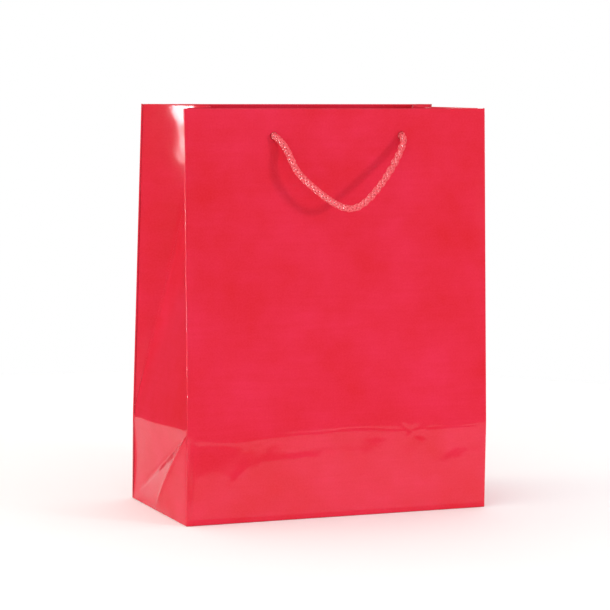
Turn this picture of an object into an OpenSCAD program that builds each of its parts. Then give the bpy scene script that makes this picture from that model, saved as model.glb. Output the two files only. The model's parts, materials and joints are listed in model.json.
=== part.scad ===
/* [Bag] */

// Overall width of the bag at the base, side to side
bag_width = 203; // [120:1:330]
// Overall depth of the bag at the base, front to back
bag_depth = 102; // [60:1:160]
// Height of the paper from the base to the rim
bag_height = 254; // [180:1:420]
// Height of the crease that runs round the bag above the base
fold_height = 55; // [35:1:100]
// How far each big panel leans in above that crease, in degrees
lean = 3.4; // [1:0.1:6]
// Thickness of the bag's paper
paper_t = 0.3; // [0.2:0.05:0.6]

/* [Rim] */

// Height of the paper turned in along the rim
hem_height = 36; // [20:1:60]
// Height of the card strip hidden under the hem
card_height = 30; // [15:1:50]
// Thickness of the card strip
card_t = 0.8; // [0.5:0.1:2]

/* [Base] */

// Thickness of the loose board lying in the bottom
board_t = 1.2; // [0.6:0.1:3]
// Clearance between the board and the bag walls
board_gap = 1; // [0.5:0.1:3]
// How far the front and back bottom flaps overlap past the middle
flap_overlap = 12; // [5:1:30]

/* [Handles] */

// Diameter of the handle cord
cord_d = 4; // [2:0.5:6]
// Distance between the two holes of one handle
hole_spacing = 86; // [50:1:140]
// Distance of the holes below the rim
hole_drop = 16.5; // [10:0.5:30]
// Diameter of the punched holes
hole_d = 5; // [3:0.1:8]
// Outside diameter of the knots
knot_d = 10; // [6:0.5:14]

/* [Hidden] */

PAPER = [0.86, 0.10, 0.17];
INSIDE = [0.70, 0.07, 0.13];
CARD = [0.80, 0.78, 0.74];
CORD = [0.88, 0.12, 0.20];

// inner half width, inner half depth and length of the leaning part
half_w = bag_width / 2 - paper_t;
half_d = bag_depth / 2 - paper_t;
reach = bag_height - fold_height;

// angles that close the gusset's three facets onto the leaning panels
tuck = acos((1 - half_d / reach * sin(lean)) / cos(lean));
wing = acos((1 - reach / half_d * sin(lean)) / cos(lean));

seam_gap = 0.3;
tip_gap = 3.2;
hem_inset = 10;
wing_hem_inset = 8;
card_inset = 14;
lap_width = 12;
lap_inset = 2.6;

cord_r = cord_d / 2;
axis_gap = cord_r + 0.5;
hole_z = reach - hole_drop;
hole_x = hole_spacing / 2;

// route of the front cord: x, distance out from the swing axis, z below it
FRONT_ROUTE = [
    [-41.4, 0.9, -2.2], [-38.6, 2.4, -5.8], [-36.4, 4.4, -10.8], [-34.8, 6.8, -16.4],
    [-32.4, 9.2, -22], [-28.4, 11.4, -27.2], [-23.4, 13.2, -32], [-17.8, 14.8, -36.8],
    [-11.8, 16, -41], [-5.6, 16.8, -44], [0.6, 17, -44.8], [6.6, 16.6, -42.8],
    [12, 15.6, -39.2], [17.2, 14.2, -34.8], [22.2, 12.4, -30], [27, 10.4, -25],
    [31.6, 8.2, -19.8], [35.8, 6, -14.6], [39.4, 3.9, -9.4], [42, 2, -5],
    [42.6, 1.1, -2.7]
];
// route of the back cord, in the same terms
BACK_ROUTE = [
    [-42.6, 1.1, -2.7], [-42.2, 2.2, -5.4], [-40.4, 4.2, -10.2], [-37.4, 6.6, -15.8],
    [-33.6, 8.8, -21.2], [-29.2, 10.8, -26.4], [-24.4, 12.6, -31.2], [-19.2, 14, -35.8],
    [-13.4, 15.2, -39.8], [-7.2, 16.2, -42.8], [-0.8, 16.6, -44.2], [5.8, 16.4, -44],
    [12, 15.6, -41.4], [17.8, 14.4, -37.4], [23.2, 12.8, -32.6], [28, 11, -27.4],
    [32, 8.8, -21.8], [35, 6.4, -16], [37.2, 4.2, -10.6], [39.4, 2.3, -5.8],
    [41.4, 0.9, -2.2]
];

// ---------------------------------------------------------------- placing

// the leaning frame of a big panel: side -1 is the front, +1 the back
module panel_frame(side) {
    translate([0, side * half_d, fold_height])
        rotate([side * lean, 0, 0])
            children();
}

// the frame of a gusset's middle facet: side -1 is the left, +1 the right
module tuck_frame(side) {
    translate([side * half_w, 0, fold_height])
        rotate([0, -side * tuck, 0])
            children();
}

// the frame of a wing facet, hinged on a big panel's edge.
// Along +Y of the frame the wing runs away from the edge.
module wing_frame(side_x, side_y) {
    panel_frame(side_y)
        translate([side_x * half_w, 0, 0])
            mirror([side_x > 0 ? 1 : 0, 0, 0])
                mirror([0, side_y > 0 ? 1 : 0, 0])
                    rotate([0, 0, -wing])
                        children();
}

// a flat sheet drawn as [y, z] points, from x = x0 to x = x1
module yz_sheet(points, x0, x1) {
    translate([x0, 0, 0])
        rotate([90, 0, 90])
            linear_extrude(height = x1 - x0)
                polygon(points);
}

// a hole bored through the wall of a big panel, in the panel's frame
module cord_holes(side) {
    for (sx = [-1, 1])
        translate([sx * hole_x, 0, hole_z])
            rotate([90, 0, 0])
                cylinder(d = hole_d, h = 20, center = true, $fn = 48);
}

// a plate in a panel's frame; in0 and in1 are distances into the bag
module wall_plate(side, x0, x1, in0, in1, z0, z1) {
    y0 = side < 0 ? in0 : -in1;
    translate([x0, y0, z0])
        cube([x1 - x0, in1 - in0, z1 - z0]);
}

// ---------------------------------------------------------------- walls

module big_panel(side) {
    color(PAPER)
        panel_frame(side)
            difference() {
                wall_plate(side, -half_w + 0.2, half_w - 0.2, -paper_t, 0, seam_gap, reach);
                cord_holes(side);
            }
}

// middle facet of a gusset: a tall triangle standing on the crease
module gusset_center(side) {
    u_top = (half_d - seam_gap - 1) / (half_d + tip_gap);
    foot = half_d - 2 * seam_gap;
    x0 = side < 0 ? -paper_t : 0;
    color(PAPER)
        tuck_frame(side)
            yz_sheet([[-foot, seam_gap], [foot, seam_gap],
                      [1, reach * u_top], [-1, reach * u_top]],
                     x0, x0 + paper_t);
}

// wing facet of a gusset: a slim triangle hung on a big panel's edge
module gusset_wing(side_x, side_y) {
    u_low = (2 * seam_gap + 0.5) / (half_d - tip_gap);
    color(PAPER)
        wing_frame(side_x, side_y)
            yz_sheet([[0.25, reach * u_low], [0.25, reach],
                      [half_d - seam_gap - tip_gap, reach],
                      [0.75, reach * u_low]],
                     -paper_t, 0);
}

module front_panel() { big_panel(-1); }
module back_panel() { big_panel(1); }
module left_gusset_center() { gusset_center(-1); }
module right_gusset_center() { gusset_center(1); }
module left_gusset_front() { gusset_wing(-1, -1); }
module left_gusset_back() { gusset_wing(-1, 1); }
module right_gusset_front() { gusset_wing(1, -1); }
module right_gusset_back() { gusset_wing(1, 1); }

// ---------------------------------------------------------------- lower band

module long_band(side) {
    y0 = side < 0 ? -half_d - paper_t : half_d;
    color(PAPER)
        translate([-half_w - paper_t, y0, 0])
            cube([2 * (half_w + paper_t), paper_t, fold_height]);
}

module short_band(side) {
    x0 = side < 0 ? -half_w - paper_t : half_w;
    color(PAPER)
        translate([x0, -half_d, 0])
            cube([paper_t, 2 * half_d, fold_height]);
}

module front_band() { long_band(-1); }
module back_band() { long_band(1); }
module left_band() { short_band(-1); }
module right_band() { short_band(1); }

// ---------------------------------------------------------------- rim

// paper folded over the rim and down inside, over the card
module big_hem(side) {
    x1 = half_w - hem_inset;
    color(INSIDE)
        panel_frame(side)
            difference() {
                union() {
                    wall_plate(side, -x1, x1, card_t, card_t + paper_t,
                               reach - hem_height, reach);
                    wall_plate(side, -x1, x1, -paper_t, card_t + paper_t,
                               reach, reach + paper_t);
                }
                cord_holes(side);
            }
}

module big_card(side) {
    x1 = half_w - card_inset;
    color(CARD)
        panel_frame(side)
            difference() {
                wall_plate(side, -x1, x1, 0, card_t, reach - card_height, reach);
                cord_holes(side);
            }
}

module wing_hem(side_x, side_y) {
    u_low = (reach - hem_height) / reach;
    tip = half_d - seam_gap - tip_gap;
    color(INSIDE)
        wing_frame(side_x, side_y)
            yz_sheet([[wing_hem_inset, reach - hem_height], [wing_hem_inset, reach],
                      [tip - 0.5, reach],
                      [(half_d - tip_gap) * u_low - 1, reach - hem_height]],
                     0, paper_t);
}

module front_hem() { big_hem(-1); }
module back_hem() { big_hem(1); }
module front_card() { big_card(-1); }
module back_card() { big_card(1); }
module left_front_hem() { wing_hem(-1, -1); }
module left_back_hem() { wing_hem(-1, 1); }
module right_front_hem() { wing_hem(1, -1); }
module right_back_hem() { wing_hem(1, 1); }

// ---------------------------------------------------------------- side seam

// glued lap of the tube, inside the back left corner
module seam_lap() {
    x0 = -half_w + lap_inset;
    color(INSIDE)
        panel_frame(1)
            wall_plate(1, x0, x0 + lap_width, 0, paper_t, 1, reach - hem_height - 2);
}

module seam_lap_foot() {
    x0 = -half_w + lap_inset;
    color(INSIDE)
        translate([x0, half_d - paper_t, 3])
            cube([lap_width, paper_t, fold_height - 4]);
}

// ---------------------------------------------------------------- bottom

module bottom_front_flap() {
    color(PAPER)
        translate([-half_w, -half_d, 0])
            cube([2 * half_w, half_d + flap_overlap, paper_t]);
}

module bottom_back_flap() {
    color(PAPER)
        translate([-half_w, -flap_overlap, paper_t])
            cube([2 * half_w, half_d + flap_overlap, paper_t]);
}

module side_flap(side) {
    deep = half_d - 8;
    color(INSIDE)
        translate([0, 0, 2 * paper_t])
            linear_extrude(height = paper_t)
                polygon([[side * half_w, -half_d], [side * half_w, half_d],
                         [side * (half_w - deep), 8], [side * (half_w - deep), -8]]);
}

module bottom_left_flap() { side_flap(-1); }
module bottom_right_flap() { side_flap(1); }

module base_board() {
    bx = half_w - board_gap;
    by = half_d - board_gap - paper_t;
    corner = 3;
    color(CARD)
        translate([0, 0, 3 * paper_t])
            union() {
                translate([-bx + corner, -by, 0])
                    cube([2 * (bx - corner), 2 * by, board_t]);
                translate([-bx, -by + corner, 0])
                    cube([2 * bx, 2 * (by - corner), board_t]);
                for (sx = [-1, 1], sy = [-1, 1])
                    translate([sx * (bx - corner), sy * (by - corner), 0])
                        cylinder(r = corner, h = board_t, $fn = 32);
            }
}

// ---------------------------------------------------------------- handles

function unit(v) = v / norm(v);

// direction of the route at point i, from its neighbours
function along(route, i) =
    let (n = len(route))
    unit(route[min(i + 1, n - 1)] - route[max(i - 1, 0)]);

// ring of cord surface points round route point i
function ring(route, i, sides) =
    let (t = along(route, i),
         a = unit(cross(t, [0, 1, 0])),
         b = cross(t, a))
    [for (k = [0 : sides - 1])
        route[i] + cord_r * (cos(360 * k / sides) * a + sin(360 * k / sides) * b)];

module cord_tube(route) {
    sides = 8;
    n = len(route);
    points = [for (i = [0 : n - 1]) each ring(route, i, sides)];
    walls = [for (i = [0 : n - 2], k = [0 : sides - 1])
        [i * sides + k,
         (i + 1) * sides + k,
         (i + 1) * sides + (k + 1) % sides,
         i * sides + (k + 1) % sides]];
    start_cap = [for (k = [0 : sides - 1]) k];
    end_cap = [for (k = [sides - 1 : -1 : 0]) (n - 1) * sides + k];
    polyhedron(points = points, faces = concat([start_cap], walls, [end_cap]), convexity = 6);
}

// a hanging cord; its route is turned into the panel's own frame
module handle(side, route) {
    placed = [for (p = route)
        [p[0], side * (paper_t + axis_gap + p[1]), hole_z + p[2]]];
    color(CORD)
        panel_frame(side)
            cord_tube(placed);
}

// knotted end of a cord: the stub in the hole, the knot and its tail
module knot(side_x, side_y) {
    lobe_r = 2.3;
    ring_r = knot_d / 2 - lobe_r;
    face = card_t + paper_t;
    y_knot = face + lobe_r + 0.1;
    y_end = y_knot + 3.2;
    color(CORD)
        panel_frame(side_y)
            translate([side_x * hole_x, 0, hole_z])
                rotate([side_y < 0 ? -90 : 90, 0, 0]) {
                    translate([0, 0, -paper_t - axis_gap])
                        cylinder(d = cord_d, h = paper_t + axis_gap + y_end, $fn = 32);
                    translate([0, 0, -paper_t - axis_gap])
                        rotate_extrude($fn = 32)
                            intersection() {
                                circle(d = cord_d, $fn = 32);
                                translate([0, -cord_d])
                                    square([cord_d, 2 * cord_d]);
                            }
                    for (z = [y_knot, y_end])
                        translate([0, 0, z])
                            rotate_extrude($fn = 32)
                                translate([ring_r, 0])
                                    circle(r = lobe_r, $fn = 24);
                    translate([0, 0, y_end])
                        rotate([0, side_x * 90, 0])
                            cylinder(d = cord_d, h = 12, $fn = 24);
                }
}

module front_handle() { handle(-1, FRONT_ROUTE); }
module back_handle() { handle(1, BACK_ROUTE); }
module front_left_knot() { knot(-1, -1); }
module front_right_knot() { knot(1, -1); }
module back_left_knot() { knot(-1, 1); }
module back_right_knot() { knot(1, 1); }

front_panel();
back_panel();
left_gusset_center();
right_gusset_center();
left_gusset_front();
left_gusset_back();
right_gusset_front();
right_gusset_back();
front_band();
back_band();
left_band();
right_band();
front_hem();
back_hem();
left_front_hem();
left_back_hem();
right_front_hem();
right_back_hem();
front_card();
back_card();
seam_lap();
seam_lap_foot();
bottom_front_flap();
bottom_back_flap();
bottom_left_flap();
bottom_right_flap();
base_board();
front_handle();
back_handle();
front_left_knot();
front_right_knot();
back_left_knot();
back_right_knot();
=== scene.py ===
"""Gift bag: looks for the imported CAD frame. Metres, +Z up, the front faces -Y."""
import json
import math
import bpy
import numpy as np
from mathutils import Matrix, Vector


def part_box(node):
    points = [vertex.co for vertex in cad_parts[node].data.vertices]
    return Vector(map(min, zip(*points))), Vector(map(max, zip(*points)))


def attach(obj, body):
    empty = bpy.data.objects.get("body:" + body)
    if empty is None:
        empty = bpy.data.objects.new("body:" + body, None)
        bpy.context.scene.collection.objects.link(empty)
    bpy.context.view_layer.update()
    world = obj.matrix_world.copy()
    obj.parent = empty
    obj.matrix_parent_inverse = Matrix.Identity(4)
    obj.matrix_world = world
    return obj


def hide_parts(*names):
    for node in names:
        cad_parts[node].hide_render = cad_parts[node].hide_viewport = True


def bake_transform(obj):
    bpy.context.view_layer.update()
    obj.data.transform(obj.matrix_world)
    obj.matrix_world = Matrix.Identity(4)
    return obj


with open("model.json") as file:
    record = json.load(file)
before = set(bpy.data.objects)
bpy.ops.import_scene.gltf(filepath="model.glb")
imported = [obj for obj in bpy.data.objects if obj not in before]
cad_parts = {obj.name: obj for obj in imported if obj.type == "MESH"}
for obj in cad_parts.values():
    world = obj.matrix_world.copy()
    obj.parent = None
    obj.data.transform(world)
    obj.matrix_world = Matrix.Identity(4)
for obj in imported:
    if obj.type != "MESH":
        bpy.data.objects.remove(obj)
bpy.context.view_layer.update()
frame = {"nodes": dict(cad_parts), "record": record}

MM = 0.001

# ------------------------------------------------------------ sizes, from the frame

JOINTS = {j["name"]: j for j in frame["record"]["behaviour"]["joints"]}
BAND_LOW, BAND_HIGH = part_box("front_band")
PAPER = BAND_HIGH[1] - BAND_LOW[1]
HALF_W = BAND_HIGH[0] - PAPER
HALF_D = -BAND_HIGH[1]
FOLD = BAND_HIGH[2]
LEAN = math.asin(abs(JOINTS["left_front_wing_fold"]["axis"][1]))
PANEL_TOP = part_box("front_panel")[1][2]
REACH = (PANEL_TOP - FOLD - PAPER * math.sin(LEAN)) / math.cos(LEAN)
TUCK = math.acos((1 - HALF_D / REACH * math.sin(LEAN)) / math.cos(LEAN))
WING = math.acos((1 - REACH / HALF_D * math.sin(LEAN)) / math.cos(LEAN))

CARD_T = 0.8 * MM
CARD_INSET = 14 * MM
HEM = 36 * MM
CORD_D = 4 * MM
AXIS_GAP = CORD_D / 2 + 0.5 * MM
HOLE_R = 2.5 * MM
HOLE_X = 43 * MM
HOLE_Z = REACH - 16.5 * MM

# routes of the two cords: x, distance out from the swing axis, z below it, in mm
FRONT_ROUTE = [
    [-41.4, 0.9, -2.2], [-38.6, 2.4, -5.8], [-36.4, 4.4, -10.8], [-34.8, 6.8, -16.4],
    [-32.4, 9.2, -22], [-28.4, 11.4, -27.2], [-23.4, 13.2, -32], [-17.8, 14.8, -36.8],
    [-11.8, 16, -41], [-5.6, 16.8, -44], [0.6, 17, -44.8], [6.6, 16.6, -42.8],
    [12, 15.6, -39.2], [17.2, 14.2, -34.8], [22.2, 12.4, -30], [27, 10.4, -25],
    [31.6, 8.2, -19.8], [35.8, 6, -14.6], [39.4, 3.9, -9.4], [42, 2, -5],
    [42.6, 1.1, -2.7],
]
BACK_ROUTE = [
    [-42.6, 1.1, -2.7], [-42.2, 2.2, -5.4], [-40.4, 4.2, -10.2], [-37.4, 6.6, -15.8],
    [-33.6, 8.8, -21.2], [-29.2, 10.8, -26.4], [-24.4, 12.6, -31.2], [-19.2, 14, -35.8],
    [-13.4, 15.2, -39.8], [-7.2, 16.2, -42.8], [-0.8, 16.6, -44.2], [5.8, 16.4, -44],
    [12, 15.6, -41.4], [17.8, 14.4, -37.4], [23.2, 12.8, -32.6], [28, 11, -27.4],
    [32, 8.8, -21.8], [35, 6.4, -16], [37.2, 4.2, -10.6], [39.4, 2.3, -5.8],
    [41.4, 0.9, -2.2],
]


# ------------------------------------------------------------ small maths

def smooth(a, b, x):
    """0 before a, 1 after b, smooth in between."""
    t = np.clip((x - a) / (b - a), 0, 1)
    return t * t * (3 - 2 * t)


def on_wall(side, x, out, z):
    """Points given in a big wall's leaning frame; out is measured from its inner face."""
    y = side * (HALF_D + out * math.cos(LEAN) - z * math.sin(LEAN))
    up = FOLD + out * math.sin(LEAN) + z * math.cos(LEAN)
    return np.stack(np.broadcast_arrays(x, y, up), axis=-1)


def spline(points, step):
    """A smooth line through the points, resampled at an even step."""
    p = np.asarray(points, float)
    p = np.vstack([2 * p[0] - p[1], p, 2 * p[-1] - p[-2]])
    t = np.linspace(0, 1, 12, endpoint=False)[:, None]
    parts = []
    for a, b, c, d in zip(p[:-3], p[1:-2], p[2:-1], p[3:]):
        parts.append(0.5 * (2 * b + (c - a) * t + (2 * a - 5 * b + 4 * c - d) * t ** 2
                            + (3 * b - a - 3 * c + d) * t ** 3))
    line = np.vstack(parts + [p[-2:-1]])
    run = np.concatenate([[0], np.cumsum(np.linalg.norm(np.diff(line, axis=0), axis=1))])
    even = np.linspace(0, run[-1], max(4, int(round(run[-1] / step)) + 1))
    return np.stack([np.interp(even, run, line[:, k]) for k in range(3)], axis=1), run[-1]


def carried_frames(line):
    """Two directions across the line at each point, carried along it without twisting."""
    tangent = np.gradient(line, axis=0)
    tangent /= np.linalg.norm(tangent, axis=1)[:, None]
    first = np.cross(tangent[0], [0.31, 0.22, 0.93])
    a = first / np.linalg.norm(first)
    across = []
    for t in tangent:
        a = a - t * np.dot(a, t)
        a = a / np.linalg.norm(a)
        across.append(a)
    across = np.array(across)
    return across, np.cross(tangent, across)


# ------------------------------------------------------------ mesh building

# material slots of a sheet of paper
PRINT, BACK, EDGE = 0, 1, 2

def new_object(name, verts, faces, uvs=None, slots=None, materials=(), normals=None, sharp=()):
    """A mesh object; uvs is one pair a vertex, slots one material index a face.
    normals, one a vertex, aren't used on the faces of a cut edge."""
    mesh = bpy.data.meshes.new(name)
    mesh.from_pydata([tuple(v) for v in verts], [], [tuple(f) for f in faces])
    mesh.polygons.foreach_set("use_smooth", np.ones(len(mesh.polygons), bool))
    if slots is not None:
        mesh.polygons.foreach_set("material_index", np.asarray(slots, np.int32))
    index = np.zeros(len(mesh.loops), np.int32)
    mesh.loops.foreach_get("vertex_index", index)
    if uvs is not None:
        layer = mesh.uv_layers.new(name="UVMap")
        layer.data.foreach_set("uv", np.asarray(uvs, np.float32)[index].ravel())
    for material in materials:
        mesh.materials.append(material)
    if len(sharp):
        wanted = {tuple(sorted(e)) for e in sharp}
        flags = [tuple(sorted(e.vertices)) in wanted for e in mesh.edges]
        attribute = mesh.attributes.new("sharp_edge", "BOOLEAN", "EDGE")
        attribute.data.foreach_set("value", np.array(flags))
    if normals is not None:
        given = np.asarray(normals, float)[index]
        for face in mesh.polygons:
            if face.material_index == EDGE:
                given[list(face.loop_indices)] = 0
        mesh.normals_split_custom_set([tuple(n) for n in given])
    obj = bpy.data.objects.new(name, mesh)
    bpy.context.scene.collection.objects.link(obj)
    return obj


def grid_pattern(us, vs, keep=None, holes=()):
    """A flat pattern of quads on the lines us by vs. keep(u, v) says which cells stay.
    Each hole is (u, v, half square, radius): its square is refilled with rings."""
    us, vs = np.asarray(us), np.asarray(vs)
    nu = len(us)
    points = [(u, v) for v in vs for u in us]
    faces = []

    def near(u, v):
        return [h for h in holes if abs(u - h[0]) < h[2] and abs(v - h[1]) < h[2]]

    for j in range(len(vs) - 1):
        for i in range(nu - 1):
            u, v = (us[i] + us[i + 1]) / 2, (vs[j] + vs[j + 1]) / 2
            if (keep is None or keep(u, v)) and not near(u, v):
                a = j * nu + i
                faces.append((a, a + 1, a + nu + 1, a + nu))
    for hu, hv, half, radius in holes:
        i0, i1 = np.searchsorted(us, [hu - half - 1e-6, hu + half - 1e-6])
        j0, j1 = np.searchsorted(vs, [hv - half - 1e-6, hv + half - 1e-6])
        rim = [j0 * nu + i for i in range(i0, i1)]
        rim += [j * nu + i1 for j in range(j0, j1)]
        rim += [j1 * nu + i for i in range(i1, i0, -1)]
        rim += [j * nu + i0 for j in range(j1, j0, -1)]
        square = np.array([points[k] for k in rim])
        offset = square - [hu, hv]
        circle = offset / np.linalg.norm(offset, axis=1)[:, None] * radius + [hu, hv]
        previous = rim
        for share in (0.3, 0.6, 0.85, 1.0):
            ring = (1 - share) * square + share * circle
            start = len(points)
            points.extend(map(tuple, ring))
            current = list(range(start, start + len(rim)))
            n = len(rim)
            for k in range(n):
                m = (k + 1) % n
                faces.append((previous[k], previous[m], current[m], current[k]))
            previous = current
    used = sorted({k for f in faces for k in f})
    renumber = {old: new for new, old in enumerate(used)}
    return np.array([points[k] for k in used]), [tuple(renumber[k] for k in f) for f in faces]


def surface_normals(place, uv, flip):
    """Outward normals of a placed pattern, by small steps on it."""
    h = 0.02 * MM
    du = place(uv[:, 0] + h, uv[:, 1]) - place(uv[:, 0] - h, uv[:, 1])
    dv = place(uv[:, 0], uv[:, 1] + h) - place(uv[:, 0], uv[:, 1] - h)
    n = np.cross(du, dv)
    n /= np.maximum(np.linalg.norm(n, axis=1), 1e-12)[:, None]
    return -n if flip else n


def paper_sheet(name, pattern, place, materials, inside_slot=None, flip=False, uv_shift=(0, 0),
                uv_from_place=False):
    """A sheet of paper: the placed pattern is its printed face, and the other face lies one
    thickness behind. materials are printed face, back face and cut edge.
    inside_slot(u, v) may give another slot for the back of some faces."""
    uv, faces = pattern
    outer = place(uv[:, 0], uv[:, 1])
    normal = surface_normals(place, uv, flip)
    inner = outer - normal * PAPER
    n = len(uv)
    counted = {}
    for f in faces:
        for a, b in zip(f, f[1:] + f[:1]):
            counted[(a, b)] = counted.get((a, b), 0) + 1
    border = [(a, b) for a, b in counted if (b, a) not in counted]
    mesh_faces = [tuple(reversed(f)) for f in faces] if flip else list(faces)
    slots = [PRINT] * len(faces)
    for f in faces:
        back = tuple(k + n for k in f)
        mesh_faces.append(back if flip else tuple(reversed(back)))
        centre = uv[list(f)].mean(axis=0)
        slots.append(BACK if inside_slot is None else inside_slot(*centre))
    for a, b in border:
        quad = (b, a, a + n, b + n)
        mesh_faces.append(tuple(reversed(quad)) if flip else quad)
        slots.append(EDGE)
    sharp = [e for a, b in border for e in ((a, b), (a + n, b + n))]
    flat = np.stack([outer[:, 1], uv[:, 1]], axis=1) if uv_from_place else uv
    flat = np.vstack([flat, flat]) * 10 + np.asarray(uv_shift)
    return new_object(name, np.vstack([outer, inner]), mesh_faces, flat, slots, materials,
                      np.vstack([normal, -normal]), sharp)


# ------------------------------------------------------------ camera

CAMERA_PLACE = (-0.6413, -1.5056, 0.3095)


def placed(right, up, back, place):
    """The matrix of something at place, with its own axes along right, up and back."""
    turn = np.eye(4)
    turn[:3, 0], turn[:3, 1], turn[:3, 2], turn[:3, 3] = right, up, back, place
    return Matrix(turn.tolist())


def make_camera():
    """Stands where the photograph's perspective puts it: front left, a little above."""
    yaw, pitch, roll = math.radians(-22.95), math.radians(6.35), math.radians(0.83)
    back = np.array([math.sin(yaw) * math.cos(pitch), -math.cos(yaw) * math.cos(pitch),
                     math.sin(pitch)])
    right = np.array([math.cos(yaw), math.sin(yaw), 0])
    up = np.cross(back, right)
    rolled_right = math.cos(roll) * right + math.sin(roll) * up
    rolled_up = math.cos(roll) * up - math.sin(roll) * right
    data = bpy.data.cameras.new("camera")
    data.sensor_width = 36
    data.lens = 152.4
    data.clip_end = 60
    camera = bpy.data.objects.new("camera", data)
    camera.matrix_world = placed(rolled_right, rolled_up, back, CAMERA_PLACE)
    bpy.context.scene.collection.objects.link(camera)
    bpy.context.scene.camera = camera


# ------------------------------------------------------------ materials

def start_material(name, roughness, **constants):
    """A principled material; the constants go straight onto its sockets."""
    material = bpy.data.materials.new(name)
    material.use_nodes = True
    shader = material.node_tree.nodes["Principled BSDF"]
    shader.inputs["Roughness"].default_value = roughness
    for socket, value in constants.items():
        shader.inputs[socket.replace("_", " ")].default_value = value
    return material, material.node_tree, shader


def add(tree, kind, links=(), **values):
    """A node with socket values by name, and links as (socket, output socket)."""
    node = tree.nodes.new(kind)
    for key, value in values.items():
        if hasattr(node, key):
            setattr(node, key, value)
        else:
            node.inputs[key].default_value = value
    for socket, source in links:
        tree.links.new(source, node.inputs[socket])
    return node


def stretched_uv(tree, across, along):
    """The sheet's own coordinates, in steps of 0.1 m, scaled in two directions."""
    uv = add(tree, "ShaderNodeTexCoord")
    return add(tree, "ShaderNodeMapping", [("Vector", uv.outputs["UV"])],
               Scale=(across, along, 1)).outputs[0]


def noise(tree, vector, scale, detail=3.0, rough=0.55):
    """Cloudy grey noise, about 0.3 to 0.7."""
    return add(tree, "ShaderNodeTexNoise", [("Vector", vector)],
               Scale=scale, Detail=detail, Roughness=rough).outputs["Fac"]


def ramp_value(tree, source, low, high, start=0.3, end=0.7):
    """Turns start to end in the source into low to high."""
    return add(tree, "ShaderNodeMapRange", [("Value", source)],
               **{"From Min": start, "From Max": end, "To Min": low, "To Max": high}).outputs[0]


def mix_colour(tree, factor, first, second):
    """Blends two colours; each may be a tuple or an output socket."""
    node = tree.nodes.new("ShaderNodeMix")
    node.data_type = "RGBA"
    if isinstance(factor, float):
        node.inputs[0].default_value = factor
    else:
        tree.links.new(factor, node.inputs[0])
    for slot, colour in ((6, first), (7, second)):
        if isinstance(colour, tuple):
            node.inputs[slot].default_value = (*colour, 1)
        else:
            tree.links.new(colour, node.inputs[slot])
    return node.outputs[2]


def bump(tree, shader, layers):
    """Stacks (height, distance in metres, strength) layers into the shader's normal."""
    normal = None
    for height, distance, strength in layers:
        node = add(tree, "ShaderNodeBump", [("Height", height)],
                   Distance=distance, Strength=strength)
        if normal is not None:
            tree.links.new(normal, node.inputs["Normal"])
        normal = node.outputs[0]
    tree.links.new(normal, shader.inputs["Normal"])


def glossy_red(name, bright, dull):
    """Printed art paper under a clear gloss film: soft mottling, a faint orange peel."""
    material, tree, shader = start_material(name, 0.12, IOR=1.2)
    flat = stretched_uv(tree, 1, 1)
    cloud = noise(tree, flat, 1.8, 5, 0.6)
    streak = noise(tree, stretched_uv(tree, 0.6, 9), 4, 3)
    grain = noise(tree, flat, 90, 2)
    peel = noise(tree, flat, 60, 3)
    wave = noise(tree, flat, 3.4, 3)
    tone = mix_colour(tree, ramp_value(tree, cloud, 0, 1), bright, dull)
    tone = mix_colour(tree, ramp_value(tree, streak, 0, 0.3), tone, dull)
    speck = mix_colour(tree, ramp_value(tree, grain, 0, 0.10), tone, (0.95, 0.10, 0.14))
    tree.links.new(speck, shader.inputs["Base Color"])
    tree.links.new(ramp_value(tree, cloud, 0.08, 0.14), shader.inputs["Roughness"])
    bump(tree, shader, [(wave, 0.0012, 0.4), (peel, 0.00002, 0.3)])
    return material


def paper_back(name):
    """Unprinted back of the paper: off-white, matte, with short fibres."""
    material, tree, shader = start_material(name, 0.78, IOR=1.45)
    fibres = noise(tree, stretched_uv(tree, 1, 0.25), 220, 4, 0.7)
    cloud = noise(tree, stretched_uv(tree, 1, 1), 9, 3)
    tone = mix_colour(tree, ramp_value(tree, fibres, 0, 1), (0.84, 0.83, 0.80), (0.74, 0.72, 0.69))
    tone = mix_colour(tree, ramp_value(tree, cloud, 0, 0.25), tone, (0.70, 0.67, 0.64))
    tree.links.new(tone, shader.inputs["Base Color"])
    tree.links.new(ramp_value(tree, fibres, 0.68, 0.9), shader.inputs["Roughness"])
    bump(tree, shader, [(fibres, 0.00006, 0.5)])
    return material


def paper_edge(name):
    """The cut edge: a pale core with the print's red smeared over it."""
    material, tree, shader = start_material(name, 0.6, IOR=1.45)
    smear = noise(tree, stretched_uv(tree, 1, 1), 60, 3)
    tone = mix_colour(tree, ramp_value(tree, smear, 0, 1), (0.62, 0.10, 0.13), (0.74, 0.24, 0.26))
    tree.links.new(tone, shader.inputs["Base Color"])
    tree.links.new(ramp_value(tree, smear, 0.5, 0.75), shader.inputs["Roughness"])
    bump(tree, shader, [(smear, 0.00005, 0.4)])
    return material


def object_vector(tree, scale=(1, 1, 1)):
    """The object's own coordinates, scaled in three directions."""
    coordinates = add(tree, "ShaderNodeTexCoord")
    return add(tree, "ShaderNodeMapping", [("Vector", coordinates.outputs["Object"])],
               Scale=scale).outputs[0]


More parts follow.
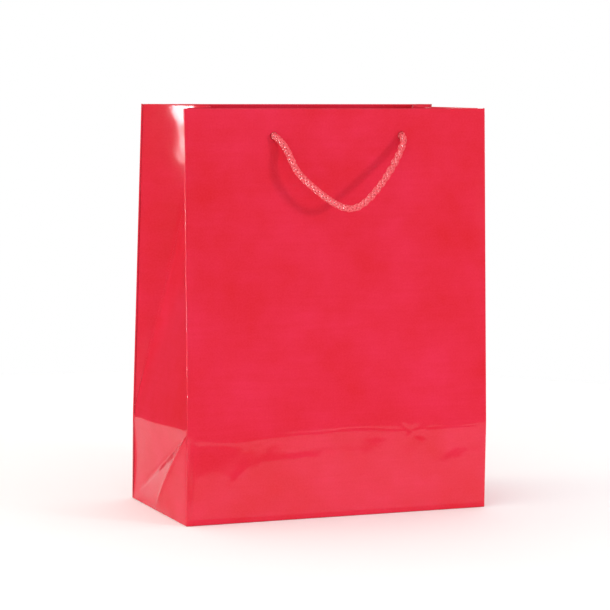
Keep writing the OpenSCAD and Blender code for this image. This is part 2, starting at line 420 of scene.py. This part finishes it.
def grey_card(name, light, dark):
    """Recycled board: speckled fibres and a slightly furry surface."""
    material, tree, shader = start_material(name, 0.85, IOR=1.45)
    fibres = noise(tree, object_vector(tree, (1, 3, 3)), 900, 4, 0.7)
    specks = noise(tree, object_vector(tree), 1400, 2)
    cloud = noise(tree, object_vector(tree), 40, 3)
    tone = mix_colour(tree, ramp_value(tree, fibres, 0, 1), light, dark)
    tone = mix_colour(tree, ramp_value(tree, specks, 0, 0.8, 0.62, 0.72), tone, (0.22, 0.20, 0.19))
    tone = mix_colour(tree, ramp_value(tree, cloud, 0, 0.2), tone, dark)
    tree.links.new(tone, shader.inputs["Base Color"])
    tree.links.new(ramp_value(tree, fibres, 0.75, 0.95), shader.inputs["Roughness"])
    bump(tree, shader, [(fibres, 0.00008, 0.6)])
    return material


def glued_flap(name, red, white):
    """A folded flap of the printed paper: printed face down, bare back up."""
    material, tree, shader = start_material(name, 0.35, IOR=1.5)
    facing = add(tree, "ShaderNodeSeparateXYZ",
                 [("Vector", add(tree, "ShaderNodeTexCoord").outputs["Normal"])]).outputs["Z"]
    cloud = noise(tree, object_vector(tree), 25, 3)
    fibres = noise(tree, object_vector(tree, (1, 4, 4)), 1500, 4, 0.7)
    up = ramp_value(tree, facing, 0, 1, 0.2, 0.6)
    bare = mix_colour(tree, ramp_value(tree, fibres, 0, 1), white, (0.72, 0.70, 0.67))
    printed = mix_colour(tree, ramp_value(tree, cloud, 0, 1), red, (0.62, 0.012, 0.035))
    tree.links.new(mix_colour(tree, up, printed, bare), shader.inputs["Base Color"])
    scuff = ramp_value(tree, cloud, 0.16, 0.34)
    rough = add(tree, "ShaderNodeMath", [(0, scuff), (1, up)], operation="ADD", use_clamp=True)
    tree.links.new(rough.outputs[0], shader.inputs["Roughness"])
    bump(tree, shader, [(cloud, 0.0006, 0.3), (fibres, 0.00004, 0.4)])
    return material


def cord_yarn(name, light, deep):
    """Braided polypropylene yarn: fine filaments running along each strand."""
    material, tree, shader = start_material(name, 0.32, IOR=1.5)
    along = add(tree, "ShaderNodeTexCoord").outputs["UV"]
    filaments = add(tree, "ShaderNodeTexWave", [("Vector", along)], bands_direction="Y",
                    Scale=2.6, Distortion=1.2, Detail=2.0).outputs["Fac"]
    tufts = noise(tree, along, 3.5, 3)
    tone = mix_colour(tree, ramp_value(tree, filaments, 0, 1, 0.1, 0.9), deep, light)
    tone = mix_colour(tree, ramp_value(tree, tufts, 0, 0.35), tone, (1.0, 0.22, 0.24))
    tree.links.new(tone, shader.inputs["Base Color"])
    tree.links.new(ramp_value(tree, filaments, 0.42, 0.24), shader.inputs["Roughness"])
    bump(tree, shader, [(filaments, 0.00008, 0.8), (tufts, 0.00006, 0.4)])
    return material


def floor_white(name):
    """The matt white floor, hardly toned."""
    material, tree, shader = start_material(name, 0.9, Specular_IOR_Level=0.1)
    haze = noise(tree, object_vector(tree), 3, 2)
    tone = mix_colour(tree, ramp_value(tree, haze, 0, 1), (0.97, 0.97, 0.97), (0.95, 0.95, 0.95))
    tree.links.new(tone, shader.inputs["Base Color"])
    return material


RED = (0.73, 0.028, 0.074)
RED_DEEP = (0.64, 0.014, 0.026)
WHITE = (0.84, 0.83, 0.80)
printed = glossy_red("printed_paper", RED, RED_DEEP)
bare = paper_back("paper_back")
cut = paper_edge("paper_edge")
SHEET = (printed, bare, cut)
board = grey_card("grey_board", (0.60, 0.58, 0.54), (0.48, 0.46, 0.43))
strip = grey_card("card_strip", (0.66, 0.63, 0.58), (0.55, 0.52, 0.48))
flap = glued_flap("glued_flap", RED, WHITE)
yarn = cord_yarn("cord_yarn", (0.98, 0.10, 0.13), (0.85, 0.03, 0.055))
# The core is much darker than the strands: painted shade where it shows in the gaps between them.
core = cord_yarn("cord_core_painted_shade", (0.50, 0.01, 0.02), (0.35, 0.006, 0.015))


# ------------------------------------------------------------ cords

# a braid's parts, as shares of the cord's radius
STRAND_OUT = 0.74
STRAND_LIFT = 0.16
STRAND_THICK = 0.26
STRAND_WIDE = 0.42
CORE_R = 0.62


def braid(name, line, radius, carriers=8, pitch=12 * MM):
    """A round braid along the line: half of the strands wind each way, over and under."""
    run = np.concatenate([[0], np.cumsum(np.linalg.norm(np.diff(line, axis=0), axis=1))])
    a, b = carried_frames(line)
    sides = 6
    verts, faces, uvs, slots = [], [], [], []

    def sweep(centre, normal, across, thick, wide, shift, slot):
        start, n = len(verts), len(centre)
        turns = np.arange(sides) * 2 * math.pi / sides
        ring = (centre[:, None] + thick * np.cos(turns)[:, None] * normal[:, None]
                + wide * np.sin(turns)[:, None] * across[:, None])
        verts.extend(ring.reshape(-1, 3))
        uvs.extend((run[i] / (2 * MM) + shift, 2 * k / sides) for i in range(n) for k in range(sides))
        for i in range(n - 1):
            p = start + i * sides
            for k in range(sides):
                m = (k + 1) % sides
                faces.append((p + k, p + m, p + sides + m, p + sides + k))
        faces.append(tuple(start + k for k in range(sides))[::-1])
        faces.append(tuple(start + (n - 1) * sides + k for k in range(sides)))
        slots.extend([slot] * (len(faces) - len(slots)))

    for k in range(carriers):
        way = 1 if k % 2 else -1
        turn = (2 * math.pi * (k // 2) / (carriers / 2) + (0.4 if k % 2 else 0)
                + way * 2 * math.pi * run / pitch)
        over = way * np.cos(carriers / 2 * turn + math.pi * (k // 2))
        normal = a * np.cos(turn)[:, None] + b * np.sin(turn)[:, None]
        centre = line + normal * (radius * (STRAND_OUT + STRAND_LIFT * over))[:, None]
        tangent = np.gradient(centre, axis=0)
        tangent /= np.linalg.norm(tangent, axis=1)[:, None]
        across = np.cross(tangent, normal)
        across /= np.linalg.norm(across, axis=1)[:, None]
        sweep(centre, normal, across, STRAND_THICK * radius, STRAND_WIDE * radius, k * 1.7, 0)
    # the core, in the darker yarn: painted shade between the strands
    sweep(line, a, b, CORE_R * radius, CORE_R * radius, 0, 1)
    return new_object(name, verts, faces, uvs, slots, (yarn, core))


def make_cords():
    """Each handle: a braided loop from hole to hole, and a knot inside at each end."""
    for side, route, name, wall, loop in (
            (-1, FRONT_ROUTE, "front_cord", "front_wall", "front_loop"),
            (1, BACK_ROUTE, "back_cord", "back_wall", "back_loop")):
        drop = np.array(route) * MM
        inner = np.array([[HOLE_X, -AXIS_GAP - 2 * MM, 0], [HOLE_X, -AXIS_GAP, 0],
                          [HOLE_X, -0.9 * MM, -0.3 * MM]])
        begin = inner * [-1, 1, 1]
        finish = inner[::-1]
        whole = np.vstack([begin, drop, finish])
        points = on_wall(side, whole[:, 0], PAPER + AXIS_GAP + whole[:, 1], HOLE_Z + whole[:, 2])
        line, length = spline(points, 0.5 * MM)
        cord = braid(name, line, CORD_D / 2)
        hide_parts(name.split("_")[0] + "_handle")
        axis = on_wall(side, 0, PAPER + AXIS_GAP, HOLE_Z)
        away = on_wall(side, 0, PAPER + AXIS_GAP + 4.6 * MM, HOLE_Z - 11 * MM)
        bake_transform(cord)
        for sx, which in ((-1, "left"), (1, "right")):
            make_knot(side, sx, f"{name}_{which}_knot", wall)
            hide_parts(f"{name.split('_')[0]}_{which}_knot")


def make_knot(side, sx, name, wall):
    """An overhand knot inside the wall: one turn of the cord about itself and a short tail."""
    face = CARD_T + PAPER
    turns = np.linspace(0, 2 * math.pi, 25)[2:-2]
    centre = face + 4.4 * MM
    loop = [[HOLE_X + 1.55 * MM * (math.sin(t) + 2 * math.sin(2 * t)) * 0.8,
             -(centre + 1.9 * MM * math.sin(3 * t)),
             1.55 * MM * (math.cos(t) - 2 * math.cos(2 * t)) * 0.8] for t in turns]
    start = [[HOLE_X, -0.2 * MM, 0], [HOLE_X, -1.2 * MM, 0]]
    tail = [[HOLE_X + 5.5 * MM, -(centre + 1.0 * MM), -1.5 * MM],
            [HOLE_X + 9 * MM, -(centre + 0.4 * MM), -3.0 * MM],
            [HOLE_X + 12 * MM, -(centre + 0.2 * MM), -5.0 * MM]]
    route = np.array(start + loop + tail)
    points = on_wall(side, sx * route[:, 0], route[:, 1], HOLE_Z + route[:, 2])
    line, _ = spline(points, 0.6 * MM)
    knot = braid(name, line, CORD_D / 2 * 0.92)
    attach(knot, wall)
    return knot


make_camera()
make_cords()


# ------------------------------------------------------------ shape of the paper

WRAP_R = 0.5 * MM
LIP = 0.6 * MM
FLAT_X = HALF_W + PAPER - WRAP_R
RIM_START = FOLD + REACH - 0.35 * MM
RIM_RISE = 0.6 * MM
RIM_ARC = 2.4 * MM
CORNER_GAP = 2.5 * MM
CREASE_TILT = -0.067
VALLEY_BOW = 281 * MM
# height of the rim, the paper rolled over it on a wing, and one layer with a little air
RIM_Z = FOLD + REACH * math.cos(LEAN)
WING_RIM_ARC = 1.4 * MM
LAYER = 0.34 * MM


def lines(breaks, step):
    """Grid lines through every break, no further apart than the step given after each."""
    out = [breaks[0]]
    for a, b, gap in zip(breaks[:-1], breaks[1:], step):
        n = max(1, int(math.ceil((b - a) / gap - 1e-6)))
        out.extend(a + (b - a) * (k + 1) / n for k in range(n))
    return out


def wall_table():
    """How a big wall's inner face runs up from the base: distance in, and height."""
    v = np.arange(0, FOLD + REACH + 12 * MM, 0.1 * MM)
    angle = LEAN * smooth(FOLD - 2.5 * MM, FOLD + 2.5 * MM, v)
    inward = np.concatenate([[0], np.cumsum(np.sin(angle[:-1]) * 0.1 * MM)])
    height = np.concatenate([[0], np.cumsum(np.cos(angle[:-1]) * 0.1 * MM)])
    return v, angle, inward, height


WALL_V, WALL_ANGLE, WALL_IN, WALL_UP = wall_table()


def segment_distance(x, z, a, b):
    """Distance from a line segment, and how far along it the nearest point is, 0 to 1."""
    dx, dz = b[0] - a[0], b[1] - a[1]
    t = np.clip(((x - a[0]) * dx + (z - a[1]) * dz) / (dx * dx + dz * dz), 0, 1)
    return np.hypot(x - a[0] - t * dx, z - a[1] - t * dz), t


def soft_ridge(x, z, a, b, width, height):
    """A rounded ridge along a segment that fades at both ends; all in mm."""
    d, t = segment_distance(x, z, a, b)
    return height * np.exp(-(d / width) ** 2) * np.sin(math.pi * np.clip(t, 0.06, 0.94))


# ridges and dents of the front, round its crease and below: from, to, width and height, in mm
FRONT_RIDGES = (
    ((52, 51), (98, 54), 1.8, 0.22),
    ((49, 51), (41, 57), 1.3, -0.25), ((49, 51), (57, 47), 1.4, -0.3),
    ((49, 51), (44, 46), 1.5, 0.25), ((49, 51), (60, 54), 1.3, 0.3), ((49, 51), (50, 62), 1.6, 0.2),
    ((-128, 22), (-48, 33), 17, 2.5),
    ((-60, 40), (-80, 14), 3.0, 0.45),
    ((-54, 36), (-16, 39), 3.4, 0.45),
    ((-17, 37), (-13, 14), 3.4, 0.4),
    ((-50, 32), (-24, 10), 4.5, 0.25),
    ((10, 36), (40, 30), 9, 0.4),
    ((55, 34), (90, 22), 10, 0.5),
)


def front_relief(x, z):
    """Creases and dents of the front, outward in mm; x and z in mm."""
    crease = 54 + 0.9 * np.sin((x + 30) / 21) + 0.4 * np.sin(x / 8.5)
    ends = smooth(-100, -92, x) * (1 - smooth(90, 100, x))
    left = 1 - smooth(-44, -30, x)
    firm = 0.75 + 0.25 * np.sin(x / 11.0 + 0.8)
    out = 0.22 * np.exp(-((z - crease + 2.2) / 2.2) ** 2) * (0.3 + 0.9 * left) * ends
    out += -0.10 * np.exp(-((z - crease) / 0.8) ** 2) * (1 - 0.9 * left) * ends * firm
    for start, end, width, height in FRONT_RIDGES:
        out += soft_ridge(x, z, start, end, width, height)
    patches = np.sin(x / 8.3 + 1.6 * np.sin(z / 11)) * np.sin(z / 6.1 + 1.4 * np.sin(x / 15))
    out += 0.19 * patches * smooth(4, 14, z) * (1 - smooth(46, 62, z))
    return out


def back_relief(x, z):
    """The same kind of wear on the back, where nothing shows in the photograph."""
    crease = 54 + 0.8 * np.sin((x - 12) / 24) + 0.4 * np.sin(x / 9.5)
    ends = smooth(-100, -92, x) * (1 - smooth(90, 100, x))
    out = 0.35 * np.exp(-((z - crease + 2.2) / 2.0) ** 2) * ends
    out += -0.28 * np.exp(-((z - crease) / 0.9) ** 2) * ends
    out += soft_ridge(x, z, (30, 44), (62, 20), 4.0, 0.6)
    out += soft_ridge(x, z, (-70, 40), (-40, 34), 5.0, 0.45)
    out += soft_ridge(x, z, (-20, 30), (25, 18), 8.0, -0.3)
    return out


def slow_waves(x, z, phase):
    """The sheet is never quite flat: long shallow waves, in mm."""
    a = np.sin(x / 31 + phase) * np.sin(z / 43 + 0.6 * phase)
    b = np.sin(x / 17 - z / 29 + 2 * phase)
    return 0.22 + 0.17 * a + 0.06 * b


def edge_slope(height):
    """How steeply a gusset leaves the wall's edge, seen from above."""
    return WING * smooth(-10 * MM, 4 * MM, height - FOLD)


def place_wall(side):
    """Where the printed face of a big wall, its rim fold and its hem go. u runs across,
    v up the outside, over the rim and down inside."""
    relief = front_relief if side < 0 else back_relief
    phase = 0.7 if side < 0 else 2.9

    def place(u, v):
        foot = np.clip(v / PAPER, 0, math.pi / 2)
        over = np.maximum(v - RIM_START, 0)
        turn = math.pi * np.clip(over / RIM_ARC, 0, 1)
        down = np.maximum(over - RIM_ARC, 0)
        card_end = HALF_W - CARD_INSET
        carded = 1 - smooth(card_end, card_end + 3 * MM, np.abs(u))
        half = PAPER + 0.5 * CARD_T * carded + 0.01 * MM
        height = np.minimum(v, RIM_START) - down
        line = np.maximum(height, PAPER) - PAPER * (1 - np.sin(foot)) * (v < 2 * PAPER)
        out = PAPER - half * (1 - np.cos(turn)) - PAPER * (1 - np.sin(foot))
        past = np.maximum(np.abs(u) - FLAT_X, 0)
        limit = math.pi / 2 + edge_slope(height)
        phi = np.minimum(past / WRAP_R, limit)
        lip = np.maximum(past - WRAP_R * limit, 0)
        x = np.sign(u) * (np.minimum(np.abs(u), FLAT_X) + WRAP_R * np.sin(phi) + lip * np.cos(phi))
        out = out - WRAP_R * (1 - np.cos(phi)) - lip * np.sin(phi)
        calm = (1 - smooth(FLAT_X - 9 * MM, FLAT_X, np.abs(u))) * smooth(1 * MM, 10 * MM, v)
        calm = calm * (1 - smooth(RIM_START - 48 * MM, RIM_START - 34 * MM, v))
        x_mm, z_mm = u / MM, v / MM
        out = out + MM * calm * slow_waves(x_mm, z_mm, phase)
        out = out + MM * relief(x_mm, z_mm) * smooth(0, 4 * MM, v) * (over <= 0) * (
            1 - smooth(FLAT_X - 3 * MM, FLAT_X, np.abs(u)))
        angle = np.interp(line, WALL_V, WALL_ANGLE)
        inward = np.interp(line, WALL_V, WALL_IN)
        up = np.interp(line, WALL_V, WALL_UP) + RIM_RISE * np.sin(turn)
        y = HALF_D - inward + out * np.cos(angle)
        return np.stack([x, side * y, up + out * np.sin(angle)], axis=1)

    return place


def make_wall(side, name, nodes):
    """Front or back: band, wall, rim fold and hem are one sheet of paper."""
    square = 5 * MM
    end = FLAT_X + WRAP_R * (math.pi / 2 + WING) + LIP
    edge = [-end, -FLAT_X, -(HALF_W - CORNER_GAP), -(HALF_W - CARD_INSET), -HOLE_X - square,
            -HOLE_X + square, HOLE_X - square, HOLE_X + square, HALF_W - CARD_INSET,
            HALF_W - CORNER_GAP, FLAT_X, end]
    us = lines(edge, [step * MM for step in (0.12, 1, 1.5, 2.6, 1.67, 2.6, 1.67, 2.6, 1.5, 1, 0.12)])
    hole_v = FOLD + HOLE_Z
    hem_v = RIM_START + RIM_ARC
    hem_hole = hem_v + RIM_START - hole_v
    hem_end = hem_v + RIM_START - (FOLD + REACH - HEM)
    rows = [0, 0.48 * MM, 3 * MM, FOLD - 9 * MM, FOLD - 4 * MM, FOLD + 4 * MM, FOLD + 9 * MM,
            hole_v - square, hole_v + square, RIM_START, hem_v,
            hem_hole - square, hem_hole + square, hem_end]
    vs = lines(rows, [step * MM for step in
                      (0.08, 1.3, 1.6, 1, 0.5, 1, 2.6, 1.67, 2.6, 0.2, 2.6, 1.67, 2.6)])
    holes = [(sx * HOLE_X, v, square, HOLE_R) for sx in (-1, 1) for v in (hole_v, hem_hole)]

    def keep(u, v):
        return v < RIM_START + RIM_ARC / 2 or abs(u) < HALF_W - CORNER_GAP

    def back_slot(u, v):
        return PRINT if abs(u) > HALF_W - CORNER_GAP and v > RIM_START - HEM else BACK

    sheet = paper_sheet(name, grid_pattern(us, vs, keep, holes), place_wall(side), SHEET,
                        back_slot, flip=side > 0, uv_shift=(0 if side < 0 else 7, 0))
    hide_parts(*nodes)
    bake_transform(sheet)


# ------------------------------------------------------------ gussets

def half_depth(s):
    """Half the gap between the two big walls, s above their crease."""
    return HALF_D - s * math.tan(LEAN)


def facet_edge(s):
    """Distance from the middle at which the gusset's middle facet meets its wings."""
    full = REACH * math.cos(LEAN)
    wing = s / full * HALF_D * math.cos(WING)
    return np.maximum(half_depth(s) - wing, 2.4 * MM)


def side_relief(y, z):
    """Creases of the band under the gusset, outward in mm; y and z in mm."""
    half = HALF_D / MM
    across, down = y + half, 57 - z
    # flat facets fan out from the front end of the crease; turn is the angle below it
    turn = np.degrees(np.arctan2(down, np.maximum(across, 0.01)))
    steep = np.interp(turn, [0, 28, 31, 45.5, 48.5, 90], [0, -0.024, -0.008, 0.084, 0.088, 0])
    out = 1.3 * steep * np.hypot(across, down) * np.clip(z / 57, 0, 1) ** 0.7
    out += soft_ridge(y, z, (-half + 1, 56), (half - 1, 1), 2.0, -0.4)
    out += soft_ridge(y, z, (-half + 1, 56), (3, 1), 1.6, 0.45)
    pinned = smooth(0, 3, half - np.abs(y)) * smooth(0, 2, z) * (1 - smooth(50, 58, z))
    return out * pinned


def valley(y, z):
    """How far in a gusset's printed face lies at y and height z."""
    crease = FOLD + CREASE_TILT * y
    above = z - crease
    soft = 1.0 * MM
    s = 0.5 * (above + np.sqrt(above * above + soft * soft))
    share = np.clip(s / REACH, 0, 1)
    h = half_depth(np.maximum(z - FOLD, 0))
    # c rounds the fold in the middle, k the folds where the middle facet meets the wings
    c = 1.0 * MM + 0.6 * MM * share
    e = h - np.sqrt(y * y + c * c) + np.sqrt(h * h + c * c) - h
    wing = e * np.tan(edge_slope(z) * 0.999)
    middle = s * math.tan(TUCK)
    k = 0.5 * MM + 5 * MM * share
    blend = np.clip(0.5 + 0.5 * (middle - wing) / k, 0, 1)
    depth = middle * (1 - blend) + wing * blend - k * blend * (1 - blend)
    # toward the rim the paper bows in, by up to 3 mm a quarter of the way from middle to wall
    along = np.clip(1 - np.abs(y) / h, 0, 1)
    flare = 0.48 * smooth(140 * MM, 171 * MM, z - FOLD) + 0.52 * smooth(183 * MM, 201 * MM, z - FOLD)
    bow = VALLEY_BOW * along ** 6 * (1 - along) ** 2 * flare
    depth = depth + bow
    fade = smooth(0, 4 * MM, z - crease)
    return depth * fade + middle * (1 - fade) * smooth(0, 4 * MM, h - np.abs(y))


def gusset_point(side, y, z, dip):
    """A point of a gusset's printed face, sunk by dip."""
    bulge = MM * side_relief(y / MM, z / MM) * (z < FOLD + 4 * MM)
    from_wall = half_depth(np.maximum(z - FOLD, 0)) - np.abs(y)
    wave = 0.25 * MM * np.sin(y / (14 * MM)) * np.sin(z / (23 * MM))
    wave = wave * smooth(0, 12 * MM, from_wall) * smooth(2 * MM, 14 * MM, z)
    x = HALF_W + PAPER - valley(y, z) + bulge + wave - dip
    return np.stack([side * x, y, z], axis=1)


def under_lip(y, z):
    """Sinks the sheet where the big walls' edges wrap over it."""
    e = half_depth(np.maximum(z - FOLD, 0)) - np.abs(y)
    return 0.35 * MM * (1 - smooth(0.9 * MM, 1.3 * MM, e))


def place_side(side):
    """The band and the middle facet. u is -1 to 1 across, v the height.
    The strips beside the facet lie behind the wings; its top is level with their rims."""
    def place(u, v):
        s = np.maximum(v - FOLD, 0)
        h = half_depth(s)
        cover = np.clip(0.0426 * s - 0.4 * MM, 0.4 * MM, 4 * MM)
        reach = np.minimum(facet_edge(s) + cover, h - 0.1 * MM)
        inner = np.minimum(facet_edge(s), reach - 1.0 * MM)
        a = np.abs(u)
        y = np.where(a < 0.8, a / 0.8 * inner,
                     np.where(a < 0.9, inner + (a - 0.8) / 0.1 * 0.8 * MM,
                              inner + 0.8 * MM + (a - 0.9) / 0.1 * (reach - inner - 0.8 * MM)))
        y = np.sign(u) * y
        behind = LAYER * smooth(0.8, 0.9, a) * smooth(2 * MM, 7 * MM, s)
        near_rim = smooth(RIM_Z - 4 * MM, RIM_Z - 0.3 * MM, v)
        level = 0.65 * MM * (1 - smooth(0.7, 0.8, a)) * near_rim
        return gusset_point(side, y, v + level, np.maximum(behind, under_lip(y, v)))

    return place


def make_side(side, name, nodes):
    """Left or right: the band and the gusset's middle facet are one sheet of paper."""
    us = lines([-1, -0.9, -0.8, 0.8, 0.9, 1], [0.034, 0.034, 0.017, 0.034, 0.034])
    vs = lines([0, 3 * MM, FOLD - 6 * MM, FOLD + 8 * MM, RIM_Z - 40 * MM, RIM_Z - 0.3 * MM],
               [step * MM for step in (1, 0.9, 0.6, 3, 2)])

    def back_slot(u, v):
        return PRINT if v > RIM_Z - HEM else BACK

    sheet = paper_sheet(name, grid_pattern(us, vs), place_side(side), SHEET, back_slot,
                        flip=side < 0, uv_shift=(14, 0), uv_from_place=True)
    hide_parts(*nodes)
    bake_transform(sheet)


def place_wing(side, side_y):
    """A wing with its rim fold and hem. u runs from the valley, 0, to the wall, 1."""
    def face(u, z):
        h = half_depth(z - FOLD)
        low = facet_edge(z - FOLD) + 0.12 * MM
        y = side_y * (low + u * (h - 0.1 * MM - low))
        return gusset_point(side, y, z, under_lip(y, z))

    def place(u, v):
        over = np.maximum(v - RIM_Z, 0)
        turn = math.pi * np.clip(over / WING_RIM_ARC, 0, 1)
        down = np.maximum(over - WING_RIM_ARC, 0)
        z = np.minimum(v, RIM_Z) - down
        h = 0.1 * MM
        du = face(u + 0.01, z) - face(u - 0.01, z)
        dz = face(u, z + h) - face(u, z - h)
        n = np.cross(du, dz)
        n /= np.linalg.norm(n, axis=1)[:, None]
        n *= np.sign(n[:, :1] * side)
        point = face(u, z) - n * (LAYER * (1 - np.cos(turn)))[:, None]
        point[:, 2] += 0.4 * MM * np.sin(turn)
        return point

    return place


def make_wing(side, side_y, name, body, nodes):
    """One of the four wings, with its rim fold and hem."""
    start = FOLD + 6 * MM
    us = lines([0, 0.9, 1], [0.032, 0.02])
    hem_start = RIM_Z + WING_RIM_ARC
    vs = lines([start, FOLD + 20 * MM, RIM_Z - 40 * MM, RIM_Z, hem_start, hem_start + HEM],
               [step * MM for step in (1.5, 3, 2, 0.2, 3)])

    def keep(u, v):
        return v < RIM_Z or u < 0.9

    def back_slot(u, v):
        return PRINT if u > 0.9 and RIM_Z - HEM < v < RIM_Z else BACK

    sheet = paper_sheet(name, grid_pattern(us, vs, keep), place_wing(side, side_y), SHEET, back_slot,
                        flip=side * side_y < 0, uv_shift=(14, 0), uv_from_place=True)
    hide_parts(*nodes)
    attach(sheet, body)


def make_paper():
    """The whole bag: two big walls, two gusset middles and four wings."""
    make_wall(-1, "front_sheet", ["front_panel", "front_band", "front_hem"])
    make_wall(1, "back_sheet", ["back_panel", "back_band", "back_hem"])
    for side, word in ((-1, "left"), (1, "right")):
        make_side(side, f"{word}_sheet", [f"{word}_band", f"{word}_gusset_center"])
        for side_y, end in ((-1, "front"), (1, "back")):
            make_wing(side, side_y, f"{word}_{end}_sheet", f"{word}_{end}_wing",
                      [f"{word}_gusset_{end}", f"{word}_{end}_hem"])


make_paper()


# ------------------------------------------------------------ kept CAD nodes

def dress_kept_nodes():
    """CAD nodes that need no new shape get a material only."""
    kept = {"bottom_front_flap": flap, "bottom_back_flap": flap, "bottom_left_flap": flap,
            "bottom_right_flap": flap, "base_board": board, "front_card": strip,
            "back_card": strip, "seam_lap": bare, "seam_lap_foot": bare}
    for node, material in kept.items():
        shown = frame["nodes"][node]
        shown.data.materials.clear()
        shown.data.materials.append(material)


dress_kept_nodes()


# ------------------------------------------------------------ stage and light

def make_stage():
    """A round white floor just under the bag."""
    rings = 96
    radius = 0.62
    verts = [(0, 0, 0)] + [(radius * math.cos(2 * math.pi * k / rings),
                            radius * math.sin(2 * math.pi * k / rings), 0) for k in range(rings)]
    faces = [(0, k + 1, (k + 1) % rings + 1) for k in range(rings)]
    floor = new_object("floor", verts, faces, materials=(floor_white("floor_white"),))
    floor.location.z = -0.0002


def area_light(name, place, aim, size, power, seen_by_diffuse=True, colour=(1, 1, 1)):
    """A rectangular light at place, turned toward aim; the camera never sees it."""
    data = bpy.data.lights.new(name, "AREA")
    data.shape = "RECTANGLE"
    data.size, data.size_y = size
    data.energy = power
    data.color = colour
    light = bpy.data.objects.new(name, data)
    toward = np.array(aim, float) - np.array(place, float)
    toward /= np.linalg.norm(toward)
    side = np.cross([0, 0, 1], -toward)
    side /= np.linalg.norm(side)
    up = np.cross(-toward, side)
    light.matrix_world = placed(side, up, -toward, place)
    light.visible_camera = False
    light.visible_diffuse = seen_by_diffuse
    bpy.context.scene.collection.objects.link(light)


def make_world():
    """White to the camera and for soft light; what the gloss mirrors is a dimmer room."""
    world = bpy.data.worlds.new("studio")
    world.use_nodes = True
    tree = world.node_tree
    background = tree.nodes["Background"]
    up = add(tree, "ShaderNodeSeparateXYZ",
             [("Vector", add(tree, "ShaderNodeTexCoord").outputs["Generated"])]).outputs["Z"]
    room = mix_colour(tree, ramp_value(tree, up, 0, 1, 0.1, 0.7), (0.04, 0.04, 0.04),
                      (0.8, 0.8, 0.8))
    path = add(tree, "ShaderNodeLightPath").outputs["Is Glossy Ray"]
    seen = add(tree, "ShaderNodeLightPath").outputs["Is Camera Ray"]
    soft = mix_colour(tree, path, (0.88, 0.88, 0.88), room)
    tree.links.new(mix_colour(tree, seen, soft, (1.0, 1.0, 1.0)), background.inputs["Color"])
    background.inputs["Strength"].default_value = 1.0
    bpy.context.scene.world = world


make_stage()
make_world()
area_light("key", (-1.3, -1.3, 1.8), (0, 0, 0.12), (1.4, 1.4), 5)
area_light("side_key", (1.2, -1.35, 0.42), (0, 0, 0.19), (0.22, 0.22), 8)
area_light("left_fill", (-1.7, 0.3, 0.9), (0, 0, 0.12), (1.2, 1.2), 8.5, colour=(1.0, 0.84, 0.62))
area_light("top", (0, 0.3, 1.7), (0, 0.05, 0), (1.5, 1.5), 3)
area_light("left_box", (-0.81, -0.327, 0.24), (-0.08, 0.0, 0.24), (0.215, 0.40), 34, False)
area_light("floor_card", (0.12, -0.2375, 0.002), (0.12, -0.2376, 1.0), (0.5, 0.365), 1.2, False)
bpy.context.scene.view_settings.view_transform = "Standard"
